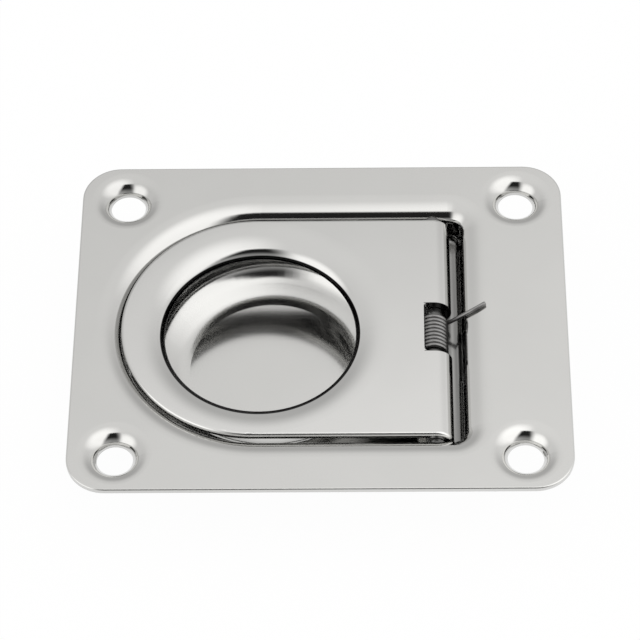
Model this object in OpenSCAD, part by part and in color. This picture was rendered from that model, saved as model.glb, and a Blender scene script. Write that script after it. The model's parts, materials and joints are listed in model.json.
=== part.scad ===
// Flush ring pull: pressed plate with a sprung ring handle that folds down into a recess.
// Millimetres, +Z up. Origin: under the finger cup, at the middle of the plate in plan.

/* [Plate] */
// Length of the flange, across the hinge pin
plate_w = 76; // [70:0.5:100]
// Width of the flange, along the hinge pin
plate_d = 62; // [58:0.5:80]
// Radius of the flange corners
plate_corner_r = 6; // [3:0.25:9]
// Thickness of the pressed plate
sheet_t = 0.8; // [0.6:0.05:1]
// Rounding of the top outer edge of the flange
plate_edge_r = 0.3; // [0.1:0.05:0.5]

/* [Screw dimples] */
// Distance between screw holes across the hinge pin
screw_span_x = 61.6; // [61:0.1:64]
// Distance between screw holes along the hinge pin
screw_span_y = 48.6; // [48.4:0.1:50]
// Diameter of each screw hole
screw_hole_d = 5.5; // [5.4:0.1:6]
// Outer radius of each pressed dimple
dimple_r = 5.7; // [5.5:0.05:5.8]
// Rounding radius of the dimple
dimple_bend_r = 3.2; // [3.2:0.05:3.6]

/* [Recess] */
// Centre of the round end of the recess
recess_x = -9.5; // [-12:0.1:-7]
// Half width of the recess between its side walls
recess_half = 21.3; // [21.1:0.05:21.6]
// Position of the wall behind the hinge
recess_end_x = 22.15; // [21.9:0.05:22.6]
// Corner radius of the recess at the hinge end
recess_corner_r = 2.2; // [1.8:0.1:2.4]
// Large rounding of the recess lip
lip_r = 5; // [4.5:0.1:5.2]
// Small rounding where the lip turns into the wall
lip_turn_r = 1.2; // [1:0.05:1.5]
// Inside rounding between recess wall and shelf
shelf_r = 1.2; // [0.8:0.1:1.6]
// Flat width of the shelf beside the finger cup
shelf_w = 1.05; // [0.3:0.05:3]

/* [Finger cup] */
// Offset of the finger cup from the round end of the recess, towards the hinge
cup_shift = 1.6; // [0:0.1:2]
// Depth of the cup floor below the shelf
cup_below = 6.6; // [5:0.1:8]
// Largest inside rounding between cup floor and wall
cup_bend_r = 5.2; // [3:0.1:6]
// Rounding on the underside of the cup lip
cup_lip_in = 0.15; // [0.05:0.05:0.6]

/* [Ring handle] */
// Thickness of the handle sheet
handle_t = 1.05; // [0.9:0.05:1.1]
// Drop of the handle top below the plate top
handle_drop = 0.2; // [0:0.05:0.4]
// Gap between the handle and each side wall of the recess
handle_gap = 0.6; // [0.5:0.05:0.9]
// Offset of the round end of the handle from that of the recess, away from the hinge
handle_shift = 0.6; // [0:0.05:0.7]
// Sideways play of the handle, taken up towards the front
handle_play = -0.3; // [-0.3:0.05:0.3]
// Rounding of the handle top edge
handle_edge_r = 0.5; // [0.2:0.05:0.6]

/* [Finger hole] */
// Offset of the finger hole from the round end of the handle, towards the hinge
hole_shift = 0.7; // [0.1:0.05:1.1]
// Radius of the finger hole at its lip
hole_r = 14.8; // [13:0.1:16.5]
// Rim between the handle edge and the dish
rim_w = 0.42; // [0.3:0.02:1]
// Slope where the dish turns into the lip
dish_angle = 27; // [24:1:30]
// Small rounding of the lip
bell_r = 2.2; // [1.8:0.1:2.4]
// Slope at the end of the lip
bell_angle = 80; // [70:1:86]

/* [Hinge] */
// Distance from the hinge pin to the wall behind it
pin_back = 4.65; // [4.4:0.05:5.4]
// Diameter of the hinge pin
pin_d = 3.0; // [2.6:0.05:3.3]
// Radial clearance between pin and rolled knuckle
pin_clear = 0.15; // [0.1:0.01:0.2]
// Clearance between rolled knuckle and shelf
knuckle_gap = 0.4; // [0.3:0.05:0.9]
// Radial clearance between pin and wall bore
bore_clear = 0.02; // [0.01:0.01:0.05]
// Length of pin standing out of each wall
pin_out = 0.7; // [0.3:0.05:1]
// Chamfer on the pin ends
pin_chamfer = 0.3; // [0.1:0.05:0.5]
// Turn of the rolled knuckle round the pin
knuckle_turn = 250; // [235:1:262]

/* [Notch] */
// Gap between the coil and the far edge of the notch
notch_far_gap = 1.23; // [0.6:0.01:2]
// Gap between the coil and the near edge of the notch
notch_near_gap = 0.92; // [0.3:0.02:1.2]
// Length of the notch in from the pin
notch_in = 1.6; // [1.55:0.05:2]
// Corner radius of the notch
notch_r = 0.6; // [0.3:0.05:0.8]

/* [Spring] */
// Wire diameter
wire_d = 0.64; // [0.5:0.02:0.66]
// Clearance between pin and coil bore
coil_clear = 0.03; // [0.02:0.01:0.06]
// Distance between neighbouring turns
coil_pitch = 0.685; // [0.68:0.005:0.74]
// Whole turns of the coil
coil_turns = 9; // [7:1:9]
// Position of the far end of the coil
coil_far_y = 2.2; // [1.8:0.05:2.4]
// Gap between the outer leg and the lip it lies on
leg_gap = 0.04; // [0.02:0.01:0.1]
// Angle of the lip at the tip of the outer leg
leg_tip_angle = 8; // [4:1:20]
// Sideways lean of the straight part of the outer leg
leg_lean = 0; // [0:0.01:0.06]
// Sideways sweep of the tip of the outer leg
leg_sweep = 0.95; // [0:0.05:1.2]
// Reach of the inner leg along the knuckle
leg_reach = 5.5; // [3:0.5:8]
// Bend radius of the inner leg
leg_bend_r = 0.7; // [0.6:0.05:0.75]

/* [Hidden] */
pin_r = pin_d / 2;
knuckle_in = pin_r + pin_clear;
knuckle_out = knuckle_in + handle_t;
shelf_depth = handle_drop + 2 * knuckle_out + knuckle_gap;
cup_depth = shelf_depth + cup_below;
plate_top = cup_depth + sheet_t;
handle_top = plate_top - handle_drop;
pin_x = recess_end_x - pin_back;
pin_z = handle_top - knuckle_out;
wire_r = wire_d / 2;
coil_r = pin_r + coil_clear + wire_r;
lip_w = lip_r * sin(45) + lip_turn_r * (1 - sin(45));
lip_mid_u = lip_turn_r * (1 - sin(45));
lip_mid_z = -lip_r * (1 - cos(45));
lip_end_z = lip_mid_z - lip_turn_r * cos(45);
cup_x = recess_x + cup_shift;
cup_out_r = recess_half - shelf_r - shelf_w;
cup_lip_r = sheet_t + cup_lip_in;
cup_r = cup_out_r - cup_lip_r;
cup_bend = min(cup_bend_r, cup_below - cup_lip_r - sheet_t / 4);
cup_floor_r = cup_r - cup_bend;
cup_wall = cup_below - cup_lip_r - cup_bend;
dimple_turn = asin(min(0.97, (dimple_r - screw_hole_d / 2) / dimple_bend_r)) + 10;
handle_half = recess_half - handle_gap;
handle_x = recess_x - handle_shift;
hole_x = handle_x + hole_shift;
dish_out_r = handle_half - rim_w;
dish_mid_r = hole_r + bell_r * (sin(bell_angle) - sin(dish_angle));
dish_r = (dish_out_r - dish_mid_r) / sin(dish_angle);
dish_mid_z = -dish_r * (1 - cos(dish_angle));
bell_x = dish_mid_r + bell_r * sin(dish_angle);
bell_z = dish_mid_z - bell_r * cos(dish_angle);
$fn = 96;

// Flat band bent round a centre, from angle a0 to angle a1 (less than 170 degrees apart)
module bend(r_in, r_out, a0, a1) {
    am = (a0 + a1) / 2;
    far = 3 * r_out;
    intersection() {
        difference() {
            circle(r = r_out);
            circle(r = r_in);
        }
        polygon([
            [0, 0],
            [far * cos(a0), far * sin(a0)],
            [far * cos(am), far * sin(am)],
            [far * cos(a1), far * sin(a1)]
        ]);
    }
}

// Section of the recess side: lip, wall and turn into the shelf; x outwards, y up from the plate top
module recess_section() {
    translate([lip_w, -lip_r]) bend(lip_r - sheet_t, lip_r, 90, 135);
    translate([lip_turn_r, lip_end_z]) bend(lip_turn_r - sheet_t, lip_turn_r, 135, 180);
    translate([0, shelf_r - shelf_depth]) square([sheet_t, shelf_depth - shelf_r + lip_end_z]);
    translate([-shelf_r, shelf_r - shelf_depth]) bend(shelf_r, shelf_r + sheet_t, -90, 0);
}

// Carries a section all the way round the recess outline
module round_recess() {
    run = recess_end_x - recess_corner_r - recess_x;
    side = recess_half - recess_corner_r;
    translate([recess_x, 0, 0]) rotate([0, 0, 90]) rotate_extrude(angle = 180)
        translate([recess_half, 0]) children();
    for (m = [0, 1]) mirror([0, m, 0]) {
        translate([recess_x, recess_half, 0]) rotate([90, 0, 90]) linear_extrude(run) children();
        translate([recess_end_x - recess_corner_r, side, 0]) rotate_extrude(angle = 90)
            translate([recess_corner_r, 0]) children();
    }
    translate([recess_end_x, side, 0]) rotate([90, 0, 0]) linear_extrude(2 * side) children();
}

// Recess outline grown outwards by g
module recess_outline(g) {
    corner = recess_corner_r + g;
    half = recess_half + g;
    end_x = recess_end_x + g;
    translate([recess_x, 0]) circle(r = half);
    translate([recess_x, -half]) square([end_x - corner - recess_x, 2 * half]);
    translate([recess_x, corner - half]) square([end_x - recess_x, 2 * (half - corner)]);
    for (s = [-1, 1]) translate([end_x - corner, s * (half - corner)]) circle(r = corner);
}

// Section of the flange rim, with its top edge rounded
module rim_section() {
    translate([0, -sheet_t]) square([plate_corner_r, sheet_t - plate_edge_r]);
    translate([0, -plate_edge_r]) square([plate_corner_r - plate_edge_r, plate_edge_r]);
    translate([plate_corner_r - plate_edge_r, -plate_edge_r]) bend(0, plate_edge_r, 0, 90);
}

// Flange without its openings
module flange_blank() {
    in_x = plate_w / 2 - plate_corner_r;
    in_y = plate_d / 2 - plate_corner_r;
    translate([-in_x, -in_y, -sheet_t]) cube([2 * in_x, 2 * in_y, sheet_t]);
    for (m = [0, 1]) mirror([0, m, 0]) {
        translate([-in_x, in_y, 0]) rotate([90, 0, 90]) linear_extrude(2 * in_x) rim_section();
        for (k = [0, 1]) mirror([k, 0, 0])
            translate([in_x, in_y, 0]) rotate_extrude(angle = 90) rim_section();
    }
    for (k = [0, 1]) mirror([k, 0, 0])
        translate([in_x, in_y, 0]) rotate([90, 0, 0]) linear_extrude(2 * in_y) rim_section();
}

// Section of one screw dimple, pressed down round the hole
module dimple_section() {
    translate([dimple_r, -dimple_bend_r])
        bend(dimple_bend_r - sheet_t, dimple_bend_r, 90, 90 + dimple_turn);
}

// Section of the finger cup: lip, wall, bottom rounding and floor
module cup_section() {
    translate([cup_out_r, -shelf_depth - cup_lip_r]) bend(cup_lip_in, cup_lip_r, 90, 180);
    translate([cup_r, cup_bend - cup_depth]) square([sheet_t, cup_wall]);
    translate([cup_floor_r, cup_bend - cup_depth]) bend(cup_bend, cup_bend + sheet_t, -90, 0);
    translate([0, -cup_depth - sheet_t]) square([cup_floor_r, sheet_t]);
}

// Pressed plate: flange, dimples, recess, shelf and finger cup
module base_plate() {
    color([0.78, 0.78, 0.77])
    difference() {
        translate([0, 0, plate_top]) {
            difference() {
                flange_blank();
                translate([0, 0, -2 * sheet_t]) linear_extrude(3 * sheet_t) recess_outline(lip_w);
                for (x = [-1, 1], y = [-1, 1])
                    translate([x * screw_span_x / 2, y * screw_span_y / 2, -2 * sheet_t])
                        cylinder(r = dimple_r, h = 3 * sheet_t);
            }
            for (x = [-1, 1], y = [-1, 1])
                translate([x * screw_span_x / 2, y * screw_span_y / 2, 0])
                    rotate_extrude() dimple_section();
            round_recess() recess_section();
            translate([0, 0, -shelf_depth - sheet_t]) linear_extrude(sheet_t) difference() {
                recess_outline(-shelf_r);
                translate([cup_x, 0]) circle(r = cup_out_r);
            }
            translate([cup_x, 0, 0]) rotate_extrude() cup_section();
        }
        for (x = [-1, 1], y = [-1, 1])
            translate([x * screw_span_x / 2, y * screw_span_y / 2, plate_top - dimple_bend_r])
                cylinder(d = screw_hole_d, h = dimple_bend_r + 1);
        translate([pin_x, 0, pin_z]) rotate([90, 0, 0])
            cylinder(r = pin_r + bore_clear, h = 2 * (recess_half + lip_w), center = true);
    }
}

// Section of the handle sheet from y0 to y1; each end given a rounded top edge of its own radius
module handle_section(y0, y1, r0, r1) {
    translate([y0, -handle_t]) square([y1 - y0, handle_t - handle_edge_r]);
    translate([y0 + r0, -handle_edge_r]) square([y1 - y0 - r0 - r1, handle_edge_r]);
    if (r0 > 0) translate([y0 + r0, -handle_edge_r]) bend(0, handle_edge_r, 90, 180);
    if (r1 > 0) translate([y1 - r1, -handle_edge_r]) bend(0, handle_edge_r, 0, 90);
}

// Section of the dished ring and its bell-mouthed lip, about the middle of the finger hole
module bell_section() {
    translate([dish_out_r, -dish_r]) bend(dish_r - handle_t, dish_r, 90, 90 + dish_angle);
    translate([bell_x, bell_z]) bend(bell_r - handle_t, bell_r, 90 + dish_angle, 90 + bell_angle);
}

// Rolled knuckle from y0 to y1, turning from the flat tail right round under the pin
module knuckle(y0, y1, r0, r1) {
    translate([pin_x, 0, pin_z]) rotate([-90, 0, 0]) rotate([0, 0, -90])
        rotate_extrude(angle = knuckle_turn)
            translate([knuckle_out, 0]) rotate(90) mirror([0, 1]) handle_section(y0, y1, r0, r1);
}

// Pressed ring handle
module ring_handle() {
    e = handle_edge_r;
    half = handle_half;
    near = notch_near_y - handle_play;
    far = notch_far_y - handle_play;
    color([0.82, 0.82, 0.81])
    translate([0, handle_play, 0]) {
        translate([0, 0, handle_top]) {
            difference() {
                union() {
                    translate([handle_x, 0, 0]) rotate([0, 0, 90]) rotate_extrude(angle = 180)
                        handle_section(0, half, 0, e);
                    translate([handle_x, 0, 0]) rotate([90, 0, 90]) linear_extrude(pin_x - handle_x)
                        handle_section(-half, half, e, e);
                }
                translate([hole_x, 0, -2 * handle_t]) cylinder(r = dish_out_r, h = 3 * handle_t);
                translate([pin_x - notch_in, near, -2 * handle_t]) linear_extrude(3 * handle_t) {
                    translate([notch_r, 0]) square([notch_in, far - near]);
                    translate([0, notch_r]) square([notch_in, far - near - 2 * notch_r]);
                    for (y = [notch_r, far - near - notch_r]) translate([notch_r, y]) circle(r = notch_r);
                }
            }
            translate([hole_x, 0, 0]) rotate_extrude() bell_section();
        }
        knuckle(-half, near, e, 0);
        knuckle(far, half, 0, e);
    }
}

// Hinge pin with chamfered ends
module hinge_pin() {
    len = 2 * (recess_half + sheet_t + pin_out);
    color([0.7, 0.7, 0.7])
    translate([pin_x, 0, pin_z]) rotate([90, 0, 0]) translate([0, 0, -len / 2]) rotate_extrude()
        polygon([
            [0, 0],
            [pin_r - pin_chamfer, 0],
            [pin_r, pin_chamfer],
            [pin_r, len - pin_chamfer],
            [pin_r - pin_chamfer, len],
            [0, len]
        ]);
}

// Middle of the big lip rounding behind the hinge, measured from the pin
lip_c = [recess_end_x + lip_w - pin_x, plate_top - lip_r - pin_z];
lip_reach = lip_r + wire_r + leg_gap;
// Slope of the outer leg: it leaves the coil underneath and meets the lip on top
leg_slope = atan2(lip_c[1], lip_c[0]) + asin((coil_r + lip_reach) / norm(lip_c));
leg_len = sqrt(norm(lip_c) * norm(lip_c) - (coil_r + lip_reach) * (coil_r + lip_reach));
coil_start = leg_slope - 90;
// The inner leg lies against the free edge of the knuckle
leg_b_angle = 90 - knuckle_turn + 360 - asin((wire_r + leg_gap) / coil_r);
bend_turn = leg_bend_r / coil_r * 180 / PI;
coil_sweep = 360 * coil_turns + coil_start - leg_b_angle + 360 - bend_turn;
coil_near_y = coil_far_y - coil_pitch * coil_sweep / 360;
notch_far_y = coil_far_y + wire_r + notch_far_gap;
notch_near_y = coil_near_y - wire_r - notch_near_gap;
coil_steps = 18 * coil_turns + 12;
tip_steps = 8;
bend_steps = 5;
wire_sides = 10;

// Wire middle line and its outward direction, both measured from the pin: [x, y, z, nx, nz]
function tip_at(f) = let (a = leg_tip_angle + f * (leg_slope - leg_tip_angle))
    [lip_c[0] - lip_reach * sin(a),
     coil_far_y + leg_len * leg_lean + leg_sweep * (1 - f) * (1 - f),
     lip_c[1] + lip_reach * cos(a), sin(a), -cos(a)];
function coil_at(a, y) = [coil_r * cos(a), y, coil_r * sin(a), cos(a), sin(a)];
function bend_at(b) = coil_at(coil_start - coil_sweep - bend_turn * sin(b),
    coil_near_y - leg_bend_r * (1 - cos(b)));
wire_line = concat(
    [for (i = [0 : tip_steps]) tip_at(i / tip_steps)],
    [for (i = [0 : coil_steps])
        coil_at(coil_start - coil_sweep * i / coil_steps, coil_far_y - coil_pitch * coil_sweep / 360
            * i / coil_steps)],
    [for (i = [1 : bend_steps]) bend_at(90 * i / bend_steps)],
    [coil_at(coil_start - coil_sweep - bend_turn, coil_near_y - leg_bend_r - leg_reach)]
);

// Torsion spring: one wire swept along its middle line
module torsion_spring() {
    n = len(wire_line);
    m = wire_sides;
    mid = [for (w = wire_line) [w[0], w[1], w[2]]];
    out = [for (w = wire_line) [w[3], 0, w[4]]];
    dir = [for (i = [0 : n - 1]) let (d = mid[min(i + 1, n - 1)] - mid[max(i - 1, 0)]) d / norm(d)];
    flat_out = [for (i = [0 : n - 1]) let (v = out[i] - (out[i] * dir[i]) * dir[i]) v / norm(v)];
    pts = [for (i = [0 : n - 1], k = [0 : m - 1]) let (s = cross(dir[i], flat_out[i]))
        mid[i] + wire_r * (cos(360 * k / m) * flat_out[i] + sin(360 * k / m) * s)];
    sides = [for (i = [0 : n - 2], k = [0 : m - 1])
        [i * m + k, (i + 1) * m + k, (i + 1) * m + (k + 1) % m, i * m + (k + 1) % m]];
    first = [[for (k = [0 : m - 1]) k]];
    last = [[for (k = [0 : m - 1]) (n - 1) * m + m - 1 - k]];
    color([0.45, 0.45, 0.46])
    translate([pin_x, 0, pin_z]) polyhedron(points = pts, faces = concat(sides, first, last), convexity = 8);
}

base_plate();
ring_handle();
hinge_pin();
torsion_spring();
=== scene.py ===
import json
import math

import bpy
import numpy as np
from mathutils import Matrix, Vector


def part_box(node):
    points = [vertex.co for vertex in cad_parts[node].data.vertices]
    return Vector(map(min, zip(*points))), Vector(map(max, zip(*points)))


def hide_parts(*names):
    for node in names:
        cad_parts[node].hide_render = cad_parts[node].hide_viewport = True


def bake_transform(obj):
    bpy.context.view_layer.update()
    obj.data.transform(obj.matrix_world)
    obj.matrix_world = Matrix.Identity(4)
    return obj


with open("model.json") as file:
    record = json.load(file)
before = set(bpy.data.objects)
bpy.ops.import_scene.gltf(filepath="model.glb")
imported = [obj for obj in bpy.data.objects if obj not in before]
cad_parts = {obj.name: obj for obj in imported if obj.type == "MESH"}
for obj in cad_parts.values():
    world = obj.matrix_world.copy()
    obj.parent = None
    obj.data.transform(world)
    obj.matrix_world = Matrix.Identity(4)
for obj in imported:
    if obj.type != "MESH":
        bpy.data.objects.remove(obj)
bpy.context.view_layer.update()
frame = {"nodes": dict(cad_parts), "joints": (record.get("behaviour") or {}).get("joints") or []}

MM = 0.001

# Camera, as the photograph was taken
VIEW_ELEVATION = 52.97
VIEW_AZIMUTH = 1.59
VIEW_ROLL = -1.60
VIEW_DISTANCE = 469.8 * MM
SENSOR_WIDTH = 36.0
LENS = 171.56
PHOTO_WIDTH = 640
FOCAL_PIXELS = LENS / SENSOR_WIDTH * PHOTO_WIDTH
# Where the middle of the plate's top lands, in pixels right of and below the picture's middle
AIM_PIXELS = (0.8, 1.8)
CLIP_RANGE = (0.01, 20)

# Studio round the part: levels with 1 as plain white, angles in degrees.
# Heights are angles down from the zenith, sides are angles from the camera's side towards +X.
SKY_COLOUR = (1.0, 0.995, 0.985, 1)
WALL_LEVEL = 0.92
OVERHEAD_LEVEL = WALL_LEVEL + 0.10
OVERHEAD_EDGE = (20, 55)
# Growth of the level from one side to the other along X
SIDE_GROWTH = 0.05
# Soft lights: middle (height, side), full radius, outer radius, added level
LIGHTS = (
    ((43, 56), 19, 52, 0.55),
    ((70, -57), 14, 42, 0.65),
)
# The studio is a little darker low down behind the part
BACK_LEVEL = -0.34
BACK_SIDES = (110, 165)
BACK_HEIGHTS = (42, 72)
# Dark silhouette of the camera and whoever holds it, widening on its right and paling towards the floor
DARK_LEVEL = 0.02
DARK_LEFT = (-42, -8)
DARK_RIGHT = (-12, 12)
DARK_WIDENING = 0.7
DARK_TOP = (26, 32)
DARK_FOOT = (50, 78)
DARK_FOOT_SHARE = 0.6

# Floor: half its width, its shade, and how much of it is plain white to the camera and to the metal
FLOOR_HALF = 4.0
FLOOR_SHADE = 0.96
FLOOR_WHITE = 0.965

# Steel: how far smudges and rolling grain change the roughness, and smudges the shade
SMUDGE_ROUGHNESS = 0.04
GRAIN_ROUGHNESS = 0.04
SMUDGE_SHADE = 0.03
SMUDGE_SCALE = 90.0
# Rolling grain, as a noise scale along each axis, and its depth
ROLLED_GRAIN = (60, 2600, 60)
PIN_GRAIN = (2600, 60, 2600)
GRAIN_DEPTH = 2e-6
GRAIN_STRENGTH = 0.2
# Slight waves of the pressed sheet
WAVE_SCALE = 140.0
WAVE_DEPTH = 8e-6
EDGE_R = 0.12 * MM
# Near-black painted shade for the slot behind the hinge, the rim of the finger hole and the notch's cut
# ends
PAINTED_SHADE_COLOUR = (0.02, 0.02, 0.02, 1)

# Upright middle lines of the finger cup and of the ring's hole
CUP_MIDDLE = Vector((-7.9, 0, 0)) * MM
HOLE_MIDDLE = Vector((-9.4, -0.3, 0)) * MM
# The cup is duller than the flange, from just above the shelf down
DULL_HEIGHTS = (8.6 * MM, 7.4 * MM)
DULL_ROUGHNESS = 0.07
# The cup's wall is shaded as if it widened towards its mouth
CUP_WALL_RADII = (15.0 * MM, 18.0 * MM)
CUP_WALL_TOP = 7.0 * MM
CUP_WALL_SLOPE = -0.25
# Painted shade in the slot behind the hinge, in streaks along the pin
SLOT_X = (15 * MM, 17 * MM)
SLOT_HEIGHTS = (10.5 * MM, 8.5 * MM)
SLOT_STREAKS = (900, 20, 900)
SLOT_SHADE = (0.25, 0.70)
STREAK_RANGE = (0.3, 0.7)
# Painted shade: a dark ring on the rim of the finger hole, in place of the shadowed gap round it: its
# radius at the sides, and how it changes to near and far
RIM_RADIUS = 15.45 * MM
RIM_TILT = -0.625 * MM
RIM_BOW = 0.225 * MM
RIM_SOFT = 0.05 * MM
# Painted shade on the cut ends of the notch for the spring
NOTCH_ENDS = (-5.42 * MM, 3.75 * MM)
NOTCH_X = (15.85 * MM, 15.95 * MM)
NOTCH_HALF = 0.06 * MM
NOTCH_SOFT = 0.03 * MM
NOTCH_SHADE = 0.9

# Torsion spring, the same wire line as the solid it stands for
WIRE_R = 0.32 * MM
COIL_R = 1.85 * MM
COIL_PITCH = 0.685 * MM
COIL_TURNS = 9
COIL_FAR_Y = 2.2 * MM
LIP_R = 5.0 * MM
LIP_MIDDLE = Vector((26.037, 0, 8.4)) * MM
LEG_GAP = 0.04 * MM
LEG_TIP_ANGLE = math.radians(8)
LEG_SWEEP = 0.95 * MM
LEG_REACH = 5.5 * MM
LEG_BEND_R = 0.7 * MM
KNUCKLE_TURN = math.radians(250)
# Rounding of the cut ends of the wire
END_R = 0.12 * MM
END_ANGLES = [math.radians(t) for t in (20, 45, 75)]
# Points along each stretch of the wire, and round it
LIP_STEPS = 25
LEG_STEPS = 12
STEPS_PER_TURN = 60
BEND_STEPS = 10
WIRE_SIDES = 20
# Drawn wire: shades between which its lines run, and the lines' scale along and round it
WIRE_DARK = (0.20, 0.20, 0.20, 1)
WIRE_LIGHT = (0.36, 0.355, 0.35, 1)
WIRE_LINES = (0.25, 30, 1)
WIRE_LINE_DEPTH = 4e-6
WIRE_LINE_STRENGTH = 0.4
WIRE_ROUGHNESS = 0.30
WIRE_CLOUD_ROUGHNESS = 0.12
WIRE_CLOUD_SCALE = 900.0


class Graph:
    """A node tree with short calls for adding and joining nodes."""

    def __init__(self, tree):
        self.tree = tree
        tree.nodes.clear()

    def add(self, kind, inputs=None, **settings):
        """Adds a node; inputs maps a socket's name or number to a value or to another socket."""
        node = self.tree.nodes.new(kind)
        for key, value in settings.items():
            setattr(node, key, value)
        for key, value in (inputs or {}).items():
            self.put(node.inputs[key], value)
        return node

    def put(self, socket, value):
        if isinstance(value, bpy.types.NodeSocket):
            self.tree.links.new(value, socket)
        else:
            socket.default_value = value

    def math(self, operation, a, b=0.0, c=0.0):
        return self.add("ShaderNodeMath", {0: a, 1: b, 2: c}, operation=operation).outputs[0]

    def vector(self, operation, a, b=(0, 0, 0)):
        node = self.add("ShaderNodeVectorMath", {0: a, 1: b}, operation=operation)
        return node.outputs["Value" if operation in ("DOT_PRODUCT", "LENGTH") else "Vector"]

    def split(self, vector):
        return self.add("ShaderNodeSeparateXYZ", {0: vector}).outputs

    def ramp(self, value, low, high, to_low=0.0, to_high=1.0):
        """Smooth step of a value from low to high."""
        node = self.add("ShaderNodeMapRange", {
            "Value": value, "From Min": low, "From Max": high, "To Min": to_low, "To Max": to_high,
        }, interpolation_type="SMOOTHSTEP")
        return node.outputs["Result"]

    def angle_ramp(self, angle, low, high, to_low=0.0, to_high=1.0):
        """Smooth step of an angle, with its limits in degrees."""
        return self.ramp(angle, math.radians(low), math.radians(high), to_low, to_high)

    def noise(self, coords, scale, detail):
        node = self.add("ShaderNodeTexNoise", {"Vector": coords, "Scale": scale, "Detail": detail})
        return node.outputs["Fac"]

    def blend(self, share, first, second):
        """Colour that goes from first to second with the share."""
        node = self.add("ShaderNodeMix", {0: share, 6: first, 7: second}, data_type="RGBA")
        return node.outputs[2]

    def bump(self, height, distance, strength=1.0, normal=None):
        inputs = {"Strength": strength, "Distance": distance, "Height": height}
        if normal is not None:
            inputs["Normal"] = normal
        return self.add("ShaderNodeBump", inputs).outputs[0]


def new_material(name):
    material = bpy.data.materials.new(name)
    material.use_nodes = True
    return material, Graph(material.node_tree)


def add_object(name, data):
    thing = bpy.data.objects.new(name, data)
    bpy.context.scene.collection.objects.link(thing)
    return thing


# Studio
def direction(height, side):
    """Unit vector that far down from the zenith, turned that far from the camera's side towards +X."""
    a, b = math.radians(height), math.radians(side)
    return (math.sin(a) * math.sin(b), -math.sin(a) * math.cos(b), math.cos(a))


def soft_light(g, ray, middle, inner, outer, level):
    """Round patch of light: full inside inner degrees, gone at outer degrees."""
    along = g.vector("DOT_PRODUCT", ray, direction(*middle))
    return g.ramp(along, math.cos(math.radians(outer)), math.cos(math.radians(inner)), 0.0, level)


def silhouette(g, height, side):
    """Share of the dark silhouette in a direction."""
    left = g.angle_ramp(side, *DARK_LEFT)
    right = g.angle_ramp(g.math("MULTIPLY_ADD", height, -DARK_WIDENING, side), *DARK_RIGHT, 1.0, 0.0)
    top = g.angle_ramp(height, *DARK_TOP)
    foot = g.angle_ramp(height, *DARK_FOOT, 1.0, DARK_FOOT_SHARE)
    return g.math("MULTIPLY", g.math("MULTIPLY", left, right), g.math("MULTIPLY", top, foot))


def make_world():
    world = bpy.data.worlds.new("studio")
    bpy.context.scene.world = world
    world.use_nodes = True
    g = Graph(world.node_tree)
    ray = g.add("ShaderNodeTexCoord").outputs["Generated"]
    parts = g.split(ray)
    height = g.math("ARCCOSINE", parts["Z"])
    side = g.math("ARCTAN2", parts["X"], g.math("MULTIPLY", parts["Y"], -1.0))
    level = g.angle_ramp(height, *OVERHEAD_EDGE, OVERHEAD_LEVEL, WALL_LEVEL)
    level = g.math("MULTIPLY_ADD", parts["X"], SIDE_GROWTH, level)
    for light in LIGHTS:
        level = g.math("ADD", level, soft_light(g, ray, *light))
    behind = g.angle_ramp(g.math("ABSOLUTE", side), *BACK_SIDES)
    low = g.angle_ramp(height, *BACK_HEIGHTS, 0.0, BACK_LEVEL)
    level = g.math("MULTIPLY_ADD", behind, low, level)
    dark = silhouette(g, height, side)
    level = g.add("ShaderNodeMix", {0: dark, 2: level, 3: DARK_LEVEL}).outputs[0]
    sky = g.add("ShaderNodeBackground", {"Color": SKY_COLOUR, "Strength": level})
    g.add("ShaderNodeOutputWorld", {"Surface": sky.outputs[0]})


def make_floor():
    """Pale floor that shows white to the camera and to the metal, and keeps a faint shadow."""
    mesh = bpy.data.meshes.new("floor")
    corners = [(x * FLOOR_HALF, y * FLOOR_HALF, 0) for x, y in ((-1, -1), (1, -1), (1, 1), (-1, 1))]
    mesh.from_pydata(corners, [], [(0, 1, 2, 3)])
    floor = add_object("floor", mesh)
    material, g = new_material("floor_white")
    rays = g.add("ShaderNodeLightPath").outputs
    seen = g.math("MAXIMUM", rays["Is Camera Ray"], rays["Is Glossy Ray"])
    seen = g.math("MAXIMUM", seen, rays["Is Transmission Ray"])
    pale = g.add("ShaderNodeBsdfDiffuse", {"Color": (FLOOR_SHADE, FLOOR_SHADE, FLOOR_SHADE, 1)})
    white = g.add("ShaderNodeEmission", {"Color": (1, 1, 1, 1), "Strength": 1.0})
    mixed = g.add("ShaderNodeMixShader", {
        0: g.math("MULTIPLY", seen, FLOOR_WHITE), 1: pale.outputs[0], 2: white.outputs[0],
    })
    g.add("ShaderNodeOutputMaterial", {"Surface": mixed.outputs[0]})
    mesh.materials.append(material)


def make_camera():
    elevation, azimuth = math.radians(VIEW_ELEVATION), math.radians(VIEW_AZIMUTH)
    back = Vector((
        math.sin(azimuth) * math.cos(elevation),
        -math.cos(azimuth) * math.cos(elevation),
        math.sin(elevation),
    ))
    flat_right = Vector((math.cos(azimuth), math.sin(azimuth), 0))
    flat_up = back.cross(flat_right)
    roll = math.radians(VIEW_ROLL)
    right = math.cos(roll) * flat_right + math.sin(roll) * flat_up
    up = -math.sin(roll) * flat_right + math.cos(roll) * flat_up
    pixel = VIEW_DISTANCE / FOCAL_PIXELS
    middle = Vector((0, 0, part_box("base_plate")[1].z))
    place = middle + back * VIEW_DISTANCE - right * AIM_PIXELS[0] * pixel + up * AIM_PIXELS[1] * pixel
    data = bpy.data.cameras.new("camera")
    data.sensor_width = SENSOR_WIDTH
    data.lens = LENS
    data.clip_start, data.clip_end = CLIP_RANGE
    camera = add_object("camera", data)
    turn = Matrix((right, up, back)).transposed()
    camera.matrix_world = Matrix.Translation(place) @ turn.to_4x4()
    bpy.context.scene.camera = camera


# Materials
def tint(colour, factor):
    return (*[c * factor for c in colour], 1)


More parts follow.
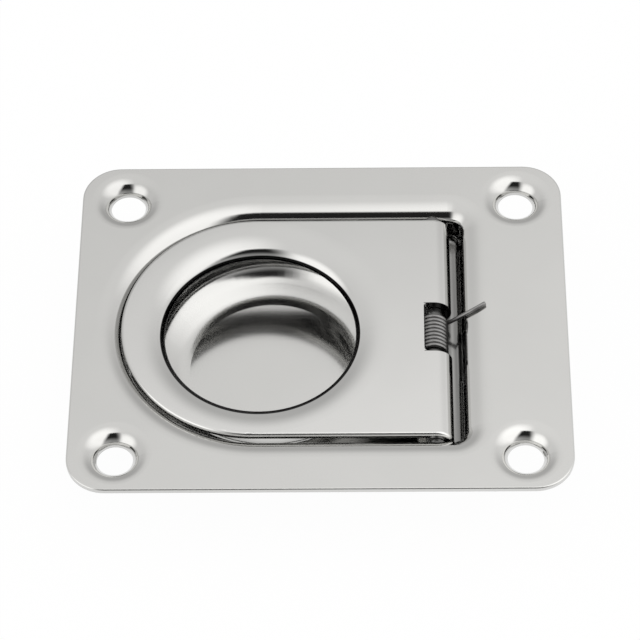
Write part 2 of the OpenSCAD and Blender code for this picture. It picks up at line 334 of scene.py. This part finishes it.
def steel(name, colour, roughness, grain=ROLLED_GRAIN, painted_light_fade=(0, 0, 0), dullness_and_painted_shade=None):
    """Polished sheet steel: fine grain, faint smudges, a slightly wavy face and rounded sharp edges,
    with painted light and shade.

    fade is a painted change of brightness per metre along each axis, standing in for how light falls
    across the sheet.
    """
    material, g = new_material(name)
    place = g.add("ShaderNodeTexCoord").outputs["Object"]
    streaks = g.noise(g.vector("MULTIPLY", place, grain), 1.0, 3.0)
    cloud = g.noise(place, SMUDGE_SCALE, 3.0)
    ripple = g.noise(place, WAVE_SCALE, 1.0)
    smudged = g.math("MULTIPLY_ADD", cloud, SMUDGE_ROUGHNESS, roughness - SMUDGE_ROUGHNESS / 2)
    grained = g.math("MULTIPLY_ADD", streaks, GRAIN_ROUGHNESS, -GRAIN_ROUGHNESS / 2)
    rough = g.math("ADD", smudged, grained)
    shade = g.blend(cloud, tint(colour, 1 - SMUDGE_SHADE), tint(colour, 1 + SMUDGE_SHADE))
    # Painted light: brightness changes linearly across the sheet
    painted_brightness = g.math("ADD", g.vector("DOT_PRODUCT", place, painted_light_fade), 1.0)
    shade = g.add("ShaderNodeVectorMath", {0: shade, "Scale": painted_brightness}, operation="SCALE").outputs[0]
    normal = g.add("ShaderNodeBevel", {"Radius": EDGE_R}, samples=4).outputs[0]
    # Painted shade from the optional function darkens the colour towards near black
    if dullness_and_painted_shade:
        dull, painted_shade, slope = dullness_and_painted_shade(g, place)
        rough = g.math("ADD", rough, dull)
        normal = g.bump(slope, 1.0, normal=normal)
        shade = g.blend(painted_shade, shade, PAINTED_SHADE_COLOUR)
    normal = g.bump(ripple, WAVE_DEPTH, normal=normal)
    normal = g.bump(streaks, GRAIN_DEPTH, GRAIN_STRENGTH, normal)
    shader = g.add("ShaderNodeBsdfPrincipled", {
        "Base Color": shade, "Metallic": 1.0, "Roughness": rough, "Normal": normal,
    })
    g.add("ShaderNodeOutputMaterial", {"Surface": shader.outputs[0]})
    return material


def around(g, place, middle):
    """Distance from an upright line through a point, and the direction's share towards the far side."""
    out = g.vector("MULTIPLY", g.vector("SUBTRACT", place, middle), (1, 1, 0))
    radius = g.vector("LENGTH", out)
    far = g.math("DIVIDE", g.split(out)["Y"], radius)
    return radius, far


def band(g, value, middle, half, soft):
    """One within half of the middle, fading to nothing within soft on both sides."""
    low, high = middle - half, middle + half
    rise = g.ramp(value, low - soft, low + soft)
    fall = g.ramp(value, high - soft, high + soft, 1.0, 0.0)
    return g.math("MULTIPLY", rise, fall)


def plate_dullness_and_painted_shade(g, place):
    """The drawn cup is duller than the flange, and painted shade darkens the slot behind the hinge.

    Returns the added roughness, the share of painted shade and the height of the shaded slope.
    """
    parts = g.split(place)
    height = parts["Z"]
    radius, _ = around(g, place, CUP_MIDDLE)
    dull = g.ramp(height, *DULL_HEIGHTS, 0.0, DULL_ROUGHNESS)
    wall = g.ramp(radius, *CUP_WALL_RADII)
    lean = g.math("MULTIPLY", g.math("MINIMUM", height, CUP_WALL_TOP), wall)
    slope = g.math("MULTIPLY", lean, CUP_WALL_SLOPE)
    shade_streaks = g.noise(g.vector("MULTIPLY", place, SLOT_STREAKS), 1.0, 1.0)
    # Painted shade in the slot behind the hinge, streaked along the pin
    slot = g.math("MULTIPLY", g.ramp(parts["X"], *SLOT_X), g.ramp(height, *SLOT_HEIGHTS))
    slot = g.math("MULTIPLY", slot, g.ramp(shade_streaks, *STREAK_RANGE, *SLOT_SHADE))
    return dull, slot, slope


def handle_painted_shade(g, place):
    """Painted shade: a dark ring on the rim of the finger hole, and dark cut ends in the notch.

    Returns the same three values as the plate's dullness and painted shade function.
    """
    radius, far = around(g, place, HOLE_MIDDLE)
    outer = g.math("MULTIPLY_ADD", far, g.math("MULTIPLY_ADD", far, RIM_BOW, RIM_TILT), RIM_RADIUS)
    # Painted shade: dark ring round the rim of the finger hole
    ring = g.ramp(g.math("SUBTRACT", radius, outer), -RIM_SOFT, RIM_SOFT, 1.0, 0.0)
    parts = g.split(place)
    # Painted shade on the cut end faces at both ends of the notch
    cut = g.math("MAXIMUM", *[band(g, parts["Y"], y, NOTCH_HALF, NOTCH_SOFT) for y in NOTCH_ENDS])
    cut = g.math("MULTIPLY", cut, g.ramp(parts["X"], *NOTCH_X, 0.0, NOTCH_SHADE))
    return 0.0, g.math("MAXIMUM", ring, cut), 0.0


def spring_steel(name):
    """Drawn spring wire: dull grey with fine lines along the wire."""
    material, g = new_material(name)
    along = g.add("ShaderNodeUVMap", uv_map="wire").outputs[0]
    lines = g.noise(g.vector("MULTIPLY", along, WIRE_LINES), 1.0, 3.0)
    cloud = g.noise(g.add("ShaderNodeTexCoord").outputs["Object"], WIRE_CLOUD_SCALE, 2.0)
    shader = g.add("ShaderNodeBsdfPrincipled", {
        "Base Color": g.blend(lines, WIRE_DARK, WIRE_LIGHT),
        "Metallic": 1.0,
        "Normal": g.bump(lines, WIRE_LINE_DEPTH, WIRE_LINE_STRENGTH),
        "Roughness": g.math("MULTIPLY_ADD", cloud, WIRE_CLOUD_ROUGHNESS, WIRE_ROUGHNESS),
    })
    g.add("ShaderNodeOutputMaterial", {"Surface": shader.outputs[0]})
    return material


def dress(node, material):
    mesh = frame["nodes"][node].data
    mesh.materials.clear()
    mesh.materials.append(material)


# Spring
def on_coil(angle, y):
    """Point of the wire's middle line on the coil, measured from the pin, and its outward direction."""
    out = Vector((math.cos(angle), 0, math.sin(angle)))
    return out * COIL_R + Vector((0, y, 0)), out


def wire_line(pin):
    """Middle line of the wire with its outward direction, from the tip of the outer leg inwards.

    Measured from the pin. Also returns where the coil ends along the pin.
    """
    lip = LIP_MIDDLE - pin
    lip_reach = LIP_R + WIRE_R + LEG_GAP
    far = math.hypot(lip.x, lip.z)
    slope = math.atan2(lip.z, lip.x) + math.asin((COIL_R + lip_reach) / far)
    start = slope - math.pi / 2
    inner = math.pi / 2 - KNUCKLE_TURN + 2 * math.pi - math.asin((WIRE_R + LEG_GAP) / COIL_R)
    bend_turn = LEG_BEND_R / COIL_R
    sweep = 2 * math.pi * (COIL_TURNS + 1) + start - inner - bend_turn
    near_y = COIL_FAR_Y - COIL_PITCH * sweep / (2 * math.pi)
    line = []
    for f in np.linspace(0, 1, LIP_STEPS):
        a = LEG_TIP_ANGLE + f * (slope - LEG_TIP_ANGLE)
        out = Vector((math.sin(a), 0, -math.cos(a)))
        y = COIL_FAR_Y + LEG_SWEEP * (1 - f) ** 2
        line.append((lip - out * lip_reach + Vector((0, y, 0)), out))
    leg_end, out = line[-1]
    coil_start, _ = on_coil(start, COIL_FAR_Y)
    line += [(leg_end.lerp(coil_start, f), out) for f in np.linspace(0, 1, LEG_STEPS)[1:-1]]
    for f in np.linspace(0, 1, int(STEPS_PER_TURN * sweep / (2 * math.pi))):
        line.append(on_coil(start - sweep * f, COIL_FAR_Y + (near_y - COIL_FAR_Y) * f))
    for b in np.linspace(0, math.pi / 2, BEND_STEPS)[1:]:
        y = near_y - LEG_BEND_R * (1 - math.cos(b))
        line.append(on_coil(start - sweep - bend_turn * math.sin(b), y))
    for f in np.linspace(0, 1, LEG_STEPS)[1:]:
        line.append(on_coil(start - sweep - bend_turn, near_y - LEG_BEND_R - LEG_REACH * f))
    return line, near_y


def wire_mesh(line, pin):
    """Round wire swept along a line, with rounded cut ends and its length and turn as UVs."""
    points = [p for p, _ in line]
    count, sides = len(line), WIRE_SIDES
    frames, lengths = [], [0.0]
    for i, (p, out) in enumerate(line):
        along = (points[min(i + 1, count - 1)] - points[max(i - 1, 0)]).normalized()
        flat = (out - out.dot(along) * along).normalized()
        frames.append((p, along, flat, along.cross(flat)))
        if i:
            lengths.append(lengths[-1] + (p - points[i - 1]).length)
    # Each cut end is drawn in by smaller rings, so its rim is rounded
    first = [(0, t, -1) for t in reversed(END_ANGLES)]
    last = [(count - 1, t, 1) for t in END_ANGLES]
    rings = first + [(i, 0.0, 0) for i in range(count)] + last
    verts, uvs = [], []
    for i, t, way in rings:
        p, along, flat, side = frames[i]
        radius = WIRE_R - END_R * (1 - math.cos(t))
        middle = pin + p + along * (END_R * math.sin(t) * way)
        for k in range(sides):
            a = 2 * math.pi * k / sides
            verts.append(middle + radius * (math.cos(a) * flat + math.sin(a) * side))
            uvs.append((lengths[i] / WIRE_R, k / sides))
    faces = []
    for r in range(len(rings) - 1):
        this, after = r * sides, (r + 1) * sides
        for k in range(sides):
            beside = (k + 1) % sides
            faces.append((this + k, after + k, after + beside, this + beside))
    faces.append(tuple(range(sides)))
    faces.append(tuple(len(rings) * sides - 1 - k for k in range(sides)))
    mesh = bpy.data.meshes.new("spring_wire")
    mesh.from_pydata(verts, [], faces)
    layer = mesh.uv_layers.new(name="wire")
    for loop in mesh.loops:
        layer.data[loop.index].uv = uvs[loop.vertex_index]
    mesh.shade_smooth()
    return mesh


def make_spring(pin, material):
    line, near_y = wire_line(pin)
    mesh = wire_mesh(line, pin)
    mesh.materials.append(material)
    spring = add_object("spring_wire", mesh)
    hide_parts("torsion_spring")
    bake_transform(spring)


make_world()
make_floor()
make_camera()
# Each sheet gets a painted light gradient across it and painted shade from its function
dress("base_plate", steel(
    "plate_steel", (0.61, 0.608, 0.597), 0.075, painted_light_fade=(1.0, -1.3, 0), dullness_and_painted_shade=plate_dullness_and_painted_shade,
))
dress("ring_handle", steel(
    "handle_steel", (0.63, 0.628, 0.618), 0.075, painted_light_fade=(1.5, -4.5, 0), dullness_and_painted_shade=handle_painted_shade,
))
# The pin's steel is near black, painted shade for the shadowed notch round it
dress("hinge_pin", steel("pin_steel", (0.16, 0.16, 0.158), 0.25, grain=PIN_GRAIN))
pin_middle = Vector(frame["joints"][0]["pos_m"])
make_spring(pin_middle, spring_steel("spring_steel"))

bpy.context.scene.view_settings.view_transform = "Standard"
